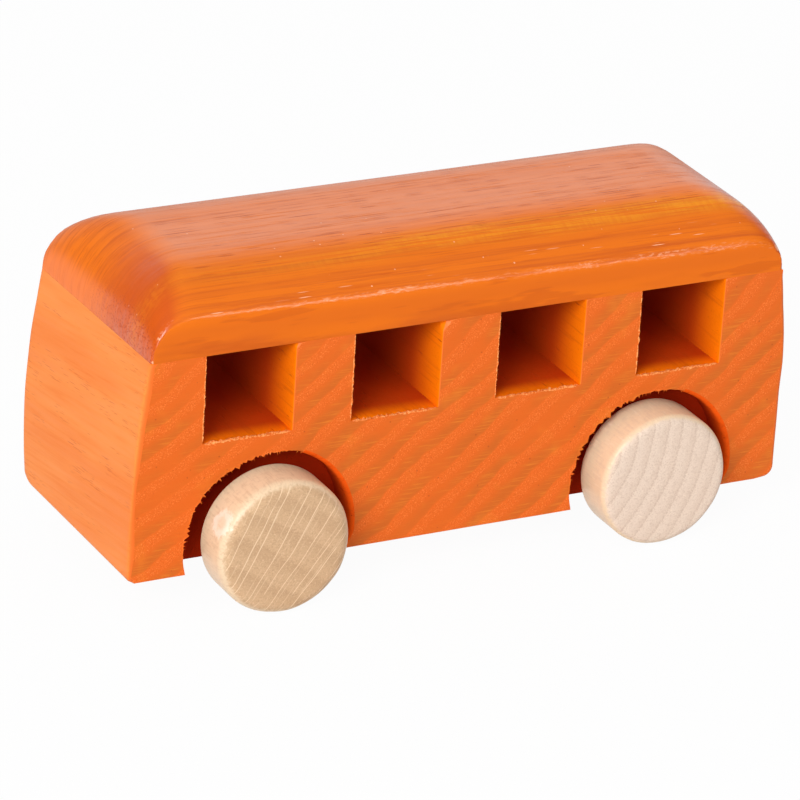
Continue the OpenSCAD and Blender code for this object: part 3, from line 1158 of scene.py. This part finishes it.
def board_finish(finish):
    """Stained hardwood under gloss lacquer: straight layers, long pores and a golden streak."""
    material, nodes, shader, position = new_material("lacquered_board", specular=0.1)
    along, across, _ = nodes.split(position)
    facing_x, facing_y, facing_z = nodes.split(nodes.coordinates("Normal"))
    on_end = nodes.remap(nodes.math("ABSOLUTE", facing_x), 0.08, 0.5)
    on_length = nodes.minus(1.0, on_end)
    above_band = nodes.remap(facing_z, 0.25, 0.55)
    on_top = nodes.remap(facing_z, 0.9, 0.99)
    leftward = nodes.remap(across, 9 * MM, -12 * MM)

    # Layers and fine lines along the board, and stain gathered in the end grain towards the left side
    turned = nodes.node("ShaderNodeMapping", {"Vector": position, "Rotation": (0.0, 0.0, math.radians(90))})
    rings = nodes.group("growth rings", {
        "Position": turned.outputs[0], "Pith": BOARD_PITH, "Spacing": BOARD_RING, "Wobble": 1.2,
        "Wobble Size": 16 * MM})
    layers = nodes.streaks(position, (60, 0.8, 9))
    lines = nodes.streaks(position, (22, 0.34, 3))
    base = nodes.mix(nodes.times(rings["Late"], 0.3), finish.board, finish.board_dark)
    base = nodes.mix(nodes.remap(layers, 0.5, 0.68, 0.0, 0.7), base, finish.board_dark)
    grooves = nodes.remap(lines, 0.56, 0.63)
    base = nodes.mix(nodes.times(grooves, 0.5), base, finish.board_dark)
    stained_end = nodes.times(on_end, leftward)
    base = nodes.mix(nodes.times(stained_end, 0.85), base, finish.board_end)
    plain_end = nodes.minus(on_end, stained_end)
    # Painted reflection of the floor low on the plain right-hand part of the ends, with paler end grain
    pale_end_and_sheen = nodes.times(nodes.remap(facing_z, 0.5, 0.2), plain_end)
    base = nodes.mix(nodes.times(pale_end_and_sheen, 0.6), base, finish.board_pale_and_sheen)
    # Painted light: the top of the board brighter, as more light from above would make it
    base = nodes.mix(nodes.times(on_top, 0.4), base, finish.board_top_painted_light)
    # The upright band a little darker
    on_band = nodes.times(nodes.minus(1.0, above_band), on_length)
    base = nodes.mix(nodes.times(on_band, 0.12), base, finish.board_dark)

    # Golden streak along the near rounding, broken along its length
    sway = nodes.minus(nodes.streaks(position, (45, 45, 45)), 0.5)
    swayed = nodes.math("MULTIPLY_ADD", sway, 6 * MM, across)
    off_gold = nodes.math("ABSOLUTE", nodes.minus(swayed, GOLD_PLACE))
    shimmer = nodes.remap(nodes.streaks(position, (0.9, 5, 5)), 0.35, 0.65, 0.6, 1.0)
    stretch = nodes.remap(nodes.streaks(position, (24, 0.55, 1.2)), 0.4, 0.56, 0.1, 1.0)
    rearward = nodes.remap(along, -48 * MM, 0.0, 0.25, 1.0)
    gold = nodes.times(nodes.remap(off_gold, GOLD_WIDTH, 0.0), shimmer)
    gold = nodes.times(gold, nodes.times(stretch, rearward))
    base = nodes.mix(nodes.times(gold, 0.9), base, finish.board_gold)

    # Pores: dark lines on the top, dots low on the stained end
    long_pores = nodes.dashes(position, (13, 0.2, 1.2), 0.12)
    short_pores = nodes.dashes(position, (6, 0.18, 1.0), 0.12)
    pores = nodes.larger(long_pores, short_pores)
    pores = nodes.times(pores, nodes.remap(on_top, 0.0, 1.0, 0.3, 1.0))
    pores = nodes.times(pores, nodes.times(above_band, on_length))
    low_end = nodes.times(nodes.remap(facing_z, 0.6, 0.3), stained_end)
    end_dots = nodes.times(nodes.dashes(position, (3, 0.5, 0.5), 0.9), low_end)
    pores = nodes.larger(pores, end_dots)
    base = nodes.mix(nodes.times(pores, 0.8), base, finish.pore)

    # Painted highlights in the pores, along the crease and on the corners, and pale dust
    low_side = nodes.times(nodes.remap(facing_z, 0.86, 0.78), above_band)
    clusters = nodes.remap(nodes.grain(position, 12, 1.0), 0.44, 0.6)
    lit = nodes.times(nodes.dashes(position, (4.6, 0.24, 0.5), 0.08), low_side)
    lit = nodes.times(lit, clusters)
    # Painted highlight along the crease, broken into dashes, in clusters and weaker towards the front
    crease = nodes.times(nodes.remap(facing_z, 0.1, 0.3), nodes.remap(facing_z, 0.66, 0.5))
    worn = nodes.remap(nodes.streaks(position, (1.3, 0.4, 0.3)), 0.5, 0.64)
    worn = nodes.times(worn, nodes.remap(along, -62 * MM, -20 * MM, 0.08, 0.6))
    worn = nodes.times(worn, nodes.remap(clusters, 0.0, 1.0, 0.3, 1.0))
    lit = nodes.larger(lit, nodes.times(crease, worn))
    lit = nodes.times(lit, on_length)
    # Painted highlights on the rounded corners where the end and side roundings meet, broken up like small chips
    turned_two_ways = nodes.math("ABSOLUTE", nodes.times(facing_x, facing_y))
    chipped = nodes.remap(nodes.grain(position, 1.3, 2.0), 0.54, 0.62)
    lit = nodes.larger(lit, nodes.times(nodes.remap(turned_two_ways, 0.2, 0.4), chipped))
    dust = nodes.times(nodes.dashes(position, (0.55, 0.55, 0.55), 0.003), above_band)
    lit = nodes.larger(lit, dust)
    base = nodes.mix(nodes.times(lit, 0.72), base, finish.lit_pore)

    # Lacquer, thinner towards the right side and over open grain
    roughness = nodes.remap(layers, 0.3, 0.7, 0.45, 0.6)
    far_worn = nodes.remap(across, 2 * MM, 18 * MM, 1.0, 0.4)
    glossy = nodes.times(nodes.remap(facing_z, 0.1, 0.6, 0.1, 1.0), far_worn)
    striped = nodes.remap(layers, 0.42, 0.58, 0.4, 1.0)
    glossy_end = nodes.math("MULTIPLY_ADD", nodes.times(leftward, striped), 0.75, 0.25)
    coat = nodes.math("MULTIPLY_ADD", nodes.minus(glossy, glossy_end), on_length, glossy_end)
    open_grain = nodes.larger(pores, nodes.times(grooves, 0.85))
    coat = nodes.times(coat, nodes.remap(open_grain, 0.0, 1.0, 1.0, 0.25))
    nodes.feed(shader.inputs["Coat Weight"], coat)
    shader.inputs["Coat Roughness"].default_value = 0.24
    height = nodes.minus(nodes.times(lines, -0.25), pores)
    dress(nodes, shader, base, roughness, height, depth=0.08 * MM)
    return material


def ray_lines(nodes, rings, pith, spacing, share_of_rays, bend):
    """Thin lines that run out from the pith, broken along their length."""
    away = math.hypot(pith[0], pith[2])
    around = nodes.math("MULTIPLY_ADD", rings["Angle"], away / spacing, bend)
    lane = nodes.math("FLOOR", around)
    pick = nodes.node("ShaderNodeTexWhiteNoise", {"W": lane}, noise_dimensions="1D").outputs["Value"]
    spot = nodes.math("MULTIPLY_ADD", pick, 0.7, 0.15)
    off = nodes.math("ABSOLUTE", nodes.minus(nodes.math("FRACT", around), spot))
    line_half = 0.1 * MM / spacing
    fine = nodes.remap(off, 1.3 * line_half, 0.5 * line_half)
    broken = nodes.noise(nodes.join(lane, nodes.times(rings["Age"], 0.7), 0.0), 1.0, 1.0)
    kept = nodes.remap(broken, 0.66 - 0.4 * share_of_rays, 0.76 - 0.4 * share_of_rays)
    return nodes.times(fine, kept)


@dataclass
class WheelWood:
    """Colours and figure of one wheel's wood."""

    wood: tuple
    ring: tuple
    ray: tuple
    pith: tuple
    ring_spacing: float
    ring_band: float
    ring_line: float
    ray_spacing: float
    ray_share: float
    burnished: float


HIGHLIGHT_PLACE = millimetres((-12.5, -1.2, 6.0))


def wheel_finish(name, kind, rim, burnish):
    """Plain sanded wood: rings round a pith and pale rays on the faces, fine grain round the rim."""
    wood, ring, ray = kind.wood, kind.ring, kind.ray
    material, nodes, shader, position = new_material(name, specular=0.4)
    facing_y = nodes.math("ABSOLUTE", nodes.split(nodes.coordinates("Normal"))[1])
    rings = nodes.group("growth rings", {
        "Position": position, "Pith": kind.pith, "Spacing": kind.ring_spacing, "Wobble": 0.5,
        "Wobble Size": 9 * MM})
    bend = nodes.grain(position, 14, 1.0)
    strong = ray_lines(nodes, rings, kind.pith, 1.6 * kind.ray_spacing, kind.ray_share, bend)
    weak = ray_lines(nodes, rings, kind.pith, 1.1 * kind.ray_spacing, 0.6 * kind.ray_share, bend)
    rays = nodes.larger(strong, nodes.times(weak, 0.5))
    grit = nodes.grain(position, 0.36, 3.0, 0.75)
    grain = nodes.grain(position, 0.9, 2.0, 0.6)
    face = nodes.remap(nodes.math("MULTIPLY_ADD", grain, 0.4, facing_y), 0.78, 1.13)
    base = nodes.mix(nodes.times(rings["Late"], kind.ring_band), wood, ring)
    base = nodes.mix(nodes.remap(grit, 0.5, 0.68, 0.0, 0.75), base, ring)
    base = nodes.mix(nodes.remap(grain, 0.52, 0.7, 0.0, 0.3), base, ring)
    base = nodes.mix(nodes.remap(grit, 0.44, 0.3, 0.0, 0.55), base, ray)
    season = nodes.math("FRACT", rings["Age"])
    ring_edge = nodes.times(nodes.remap(season, 0.76, 0.91), nodes.remap(season, 1.0, 0.95))
    dotted = nodes.times(ring_edge, nodes.remap(grit, 0.42, 0.54, 0.1, 1.0))
    base = nodes.mix(nodes.times(dotted, kind.ring_line), base, ring)
    base = nodes.mix(nodes.times(rays, 0.8), base, ray)
    lines = nodes.streaks(position, (0.45, 4, 0.45))
    edge = nodes.mix(nodes.remap(lines, 0.48, 0.68, 0.0, 0.25), rim, ring)
    edge = nodes.mix(nodes.remap(lines, 0.44, 0.3, 0.0, 0.45), edge, ray)
    edge = nodes.mix(nodes.remap(grain, 0.5, 0.7, 0.0, 0.2), edge, ring)
    base = nodes.mix(face, edge, base)
    # A polished patch on the rim, with its highlight painted in pale
    off_highlight = nodes.vector("LENGTH", nodes.vector("SUBTRACT", position, HIGHLIGHT_PLACE))
    off_highlight = nodes.math("MULTIPLY_ADD", nodes.minus(grain, 0.5), 2.5 * MM, off_highlight)
    inside = nodes.remap(off_highlight, 3.2 * MM, 2.2 * MM)
    painted_highlight = nodes.times(inside, nodes.remap(off_highlight, 0.9 * MM, 2 * MM, 0.3, 1.0))
    base = nodes.mix(nodes.times(painted_highlight, kind.burnished), base, burnish)
    roughness = nodes.remap(face, 0.0, 1.0, 0.36, 0.58)
    height = nodes.math("ADD", nodes.times(grit, face), nodes.times(rays, 0.4))
    dress(nodes, shader, base, roughness, height, depth=0.05 * MM)
    return material


def dowel_finish(finish):
    """Plain dowel with streaks along it."""
    material, nodes, shader, position = new_material("plain_dowel", specular=0.35)
    streak = nodes.streaks(position, (0.6, 20, 0.6))
    base = nodes.mix(nodes.remap(streak, 0.4, 0.7), finish.dowel, finish.dowel_streak)
    roughness = nodes.remap(streak, 0.3, 0.7, 0.5, 0.62)
    dress(nodes, shader, base, roughness, streak, depth=0.04 * MM)
    return material


def block_materials(scene):
    """The block's finishes, in the order that its faces use."""
    finish = scene.toybus_finish
    return [
        end_grain_finish(finish),
        long_grain_finish(finish),
        cut_finish("stained_tunnel", finish.tunnel, finish.tunnel_painted_shade, finish.pore, 13 * MM),
        cut_finish("stained_recess", finish.recess, finish.recess_painted_shade, finish.recess_painted_shade, 6.0 * MM),
        torn_grain_finish(finish),
    ]


# The stage

WHITE = (1.0, 1.0, 1.0, 1.0)

# The backdrop's top edge by height, and its side edges by how far ahead they lie
BACKDROP_TOP = (0.76, 0.6)
BACKDROP_SIDES = (0.44, 0.72)

# Light from all round: its level at the horizon and below, and its rise towards the zenith
SURROUND_LOW = 0.48
SURROUND_RISE = 2.6

SENSOR_WIDTH = 36.0
CLIP_START = 0.05
CLIP_END = 50.0


def build_floor(stage):
    """A pale floor that keeps the shadow, looks white, also in reflections, and is clear from below."""
    mesh = bpy.data.meshes.new("floor")
    half = stage.floor_size / 2
    corners = [(-half, -half, 0.0), (half, -half, 0.0), (half, half, 0.0), (-half, half, 0.0)]
    mesh.from_pydata(corners, [], [(0, 1, 2, 3)])
    material = bpy.data.materials.new("floor_paper")
    material.use_nodes = True
    nodes = Nodes(material.node_tree)
    shader = material.node_tree.nodes["Principled BSDF"]
    shader.inputs["Base Color"].default_value = rgba(stage.floor_colour)
    shader.inputs["Roughness"].default_value = 0.9
    shader.inputs["Specular IOR Level"].default_value = 0.0
    output = material.node_tree.nodes["Material Output"]
    white = nodes.node("ShaderNodeEmission", {"Color": WHITE, "Strength": 1.0}).outputs[0]
    mixed = nodes.node("ShaderNodeMixShader", {
        0: nodes.times(seen_ray(nodes), stage.floor_white), 1: shader.outputs[0], 2: white})
    clear = nodes.node("ShaderNodeBsdfTransparent").outputs[0]
    below = nodes.node("ShaderNodeNewGeometry").outputs["Backfacing"]
    surface = nodes.node("ShaderNodeMixShader", {0: below, 1: mixed.outputs[0], 2: clear})
    nodes.feed(output.inputs["Surface"], surface.outputs[0])
    mesh.materials.append(material)
    floor = bpy.data.objects.new("floor", mesh)
    bpy.context.scene.collection.objects.link(floor)


def seen_ray(nodes):
    """One for camera, glossy and transmission rays, which show the background."""
    path = nodes.node("ShaderNodeLightPath").outputs
    seen = nodes.larger(path["Is Camera Ray"], path["Is Glossy Ray"])
    return nodes.larger(seen, path["Is Transmission Ray"])


def build_surround(stage):
    """A dim studio with a white backdrop behind the bus."""
    world = bpy.data.worlds.new("studio")
    bpy.context.scene.world = world
    world.use_nodes = True
    nodes = Nodes(world.node_tree)
    background = world.node_tree.nodes["Background"]
    background.inputs["Color"].default_value = WHITE
    direction = nodes.node("ShaderNodeTexCoord").outputs["Generated"]
    height = nodes.split(direction)[2]
    away = (-math.sin(stage.azimuth), math.cos(stage.azimuth), 0.0)
    ahead = nodes.vector("DOT_PRODUCT", direction, away)
    backdrop = nodes.times(nodes.remap(height, *BACKDROP_TOP), nodes.remap(ahead, *BACKDROP_SIDES))
    camera_ray = nodes.node("ShaderNodeLightPath").outputs["Is Camera Ray"]
    white = nodes.larger(nodes.times(backdrop, seen_ray(nodes)), camera_ray)
    rising = nodes.larger(height, 0.0)
    level = nodes.math("MULTIPLY_ADD", rising, SURROUND_RISE, SURROUND_LOW)
    ambient = nodes.times(level, stage.surround_level)
    dim = nodes.times(nodes.minus(1.0, seen_ray(nodes)), ambient)
    nodes.feed(background.inputs["Strength"], nodes.larger(white, dim))


def build_light(name, stage, direction, size, level):
    """A round lamp that gives a face turned to it the level of light asked for."""
    light = bpy.data.lights.new(name, "AREA")
    light.shape = "DISK"
    light.size = size
    light.energy = level * (math.pi * stage.lamp_distance) ** 2
    lamp = bpy.data.objects.new(name, light)
    towards = Vector(direction).normalized()
    lamp.location = (CAD_BOX[0] + CAD_BOX[1]) / 2 + towards * stage.lamp_distance
    lamp.rotation_mode = "QUATERNION"
    lamp.rotation_quaternion = towards.to_track_quat("Z", "Y")
    bpy.context.scene.collection.objects.link(lamp)


def build_camera(stage):
    """The camera at the photograph's viewing angle."""
    azimuth, elevation, roll = stage.azimuth, stage.elevation, stage.roll
    level = math.cos(elevation)
    back = Vector((math.sin(azimuth) * level, -math.cos(azimuth) * level, math.sin(elevation)))
    right = Vector((0, 0, 1)).cross(back).normalized()
    up = back.cross(right)
    rolled_right = math.cos(roll) * right - math.sin(roll) * up
    rolled_up = math.sin(roll) * right + math.cos(roll) * up
    turn = Matrix((rolled_right, rolled_up, back)).transposed()
    data = bpy.data.cameras.new("camera")
    data.lens = stage.lens
    data.sensor_width = SENSOR_WIDTH
    data.clip_start = CLIP_START
    data.clip_end = CLIP_END
    camera = bpy.data.objects.new("camera", data)
    camera.matrix_world = Matrix.Translation(Vector(stage.target) + back * stage.distance) @ turn.to_4x4()
    bpy.context.scene.collection.objects.link(camera)
    bpy.context.scene.camera = camera


# Operators

class TOYBUS_OT_block(bpy.types.Operator):
    """Build the stained block with its tunnels, recesses and torn edges"""

    bl_idname = "toybus.block"
    bl_label = "Block"

    def execute(self, context):
        piece = build_block(context.scene.toybus_block, block_materials(context.scene))
        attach(piece, "bus")
        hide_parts("body")
        return {"FINISHED"}


class TOYBUS_OT_roof(bpy.types.Operator):
    """Build the lacquered roof board"""

    bl_idname = "toybus.roof"
    bl_label = "Roof Board"

    def execute(self, context):
        material = board_finish(context.scene.toybus_finish)
        piece = build_roof(context.scene.toybus_roof, [material])
        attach(piece, "bus")
        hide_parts("roof")
        return {"FINISHED"}


class TOYBUS_OT_wheels(bpy.types.Operator):
    """Build the four plain wooden wheels"""

    bl_idname = "toybus.wheels"
    bl_label = "Wheels"

    def execute(self, context):
        wheels = context.scene.toybus_wheels
        finish = context.scene.toybus_finish
        beige_wood = WheelWood(
            finish.beige, finish.beige_ring, finish.beige_ray, pith=millimetres((-53, 0, -85)),
            ring_spacing=5.5 * MM, ring_band=0.36, ring_line=0.2, ray_spacing=1.8 * MM, ray_share=0.9,
            burnished=0.75)
        pale_wood = WheelWood(
            finish.pale, finish.pale_ring, finish.pale_ray, pith=millimetres((-33, 0, 13)),
            ring_spacing=3.3 * MM, ring_band=0.26, ring_line=0.65, ray_spacing=4.0 * MM, ray_share=0.2,
            burnished=0.0)
        beige = wheel_finish("beige_wheel", beige_wood, finish.rim, finish.burnish)
        pale = wheel_finish("pale_wheel", pale_wood, finish.rim, finish.burnish)
        for end, material, edge in ((FRONT, beige, wheels.soft_edge), (REAR, pale, wheels.crisp_edge)):
            for name, outward in (("left", LEFT), ("right", RIGHT)):
                node = f"{end}_{name}_wheel"
                phase = 1.3 * len(node) + outward
                piece = build_wheel(f"{node}_slice", wheels, node, outward, edge, [material], phase)
                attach(piece, f"{end}_wheelset")
                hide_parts(node)
        return {"FINISHED"}


class TOYBUS_OT_axles(bpy.types.Operator):
    """Finish the two axle dowels"""

    bl_idname = "toybus.axles"
    bl_label = "Axles"

    def execute(self, context):
        material = dowel_finish(context.scene.toybus_finish)
        for end in (FRONT, REAR):
            axle = frame["nodes"][f"{end}_axle"]
            axle.data.materials.clear()
            axle.data.materials.append(material)
        return {"FINISHED"}


class TOYBUS_OT_stage(bpy.types.Operator):
    """Build the floor, the lights, the surround and the camera"""

    bl_idname = "toybus.stage"
    bl_label = "Stage"

    def execute(self, context):
        stage = context.scene.toybus_stage
        context.scene.view_settings.view_transform = "Standard"
        build_camera(stage)
        build_floor(stage)
        build_surround(stage)
        build_light("key", stage, stage.key_direction, stage.key_size, stage.key_level)
        build_light("fill", stage, stage.fill_direction, stage.fill_size, stage.fill_level)
        return {"FINISHED"}


class TOYBUS_PT_sidebar(bpy.types.Panel):
    """Lists the pieces of the toy bus and their settings."""

    bl_label = "Toy Bus"
    bl_idname = "TOYBUS_PT_sidebar"
    bl_space_type = "VIEW_3D"
    bl_region_type = "UI"
    bl_category = "Toy Bus"

    def draw(self, context):
        for operator in OPERATORS:
            self.layout.operator(operator.bl_idname)
        for name, group in SETTINGS.items():
            box = self.layout.box()
            settings = getattr(context.scene, name)
            for setting in group.__annotations__:
                box.prop(settings, setting)


OPERATORS = (TOYBUS_OT_stage, TOYBUS_OT_block, TOYBUS_OT_roof, TOYBUS_OT_wheels, TOYBUS_OT_axles)
CLASSES = (*SETTINGS.values(), *OPERATORS, TOYBUS_PT_sidebar)


def register():
    for cls in CLASSES:
        bpy.utils.register_class(cls)
    for name, group in SETTINGS.items():
        setattr(bpy.types.Scene, name, PointerProperty(type=group))


def unregister():
    for name in SETTINGS:
        delattr(bpy.types.Scene, name)
    for cls in reversed(CLASSES):
        bpy.utils.unregister_class(cls)


def main():
    register()
    bpy.ops.toybus.stage()
    bpy.ops.toybus.block()
    bpy.ops.toybus.roof()
    bpy.ops.toybus.wheels()
    bpy.ops.toybus.axles()


if __name__ == "__main__":
    main()
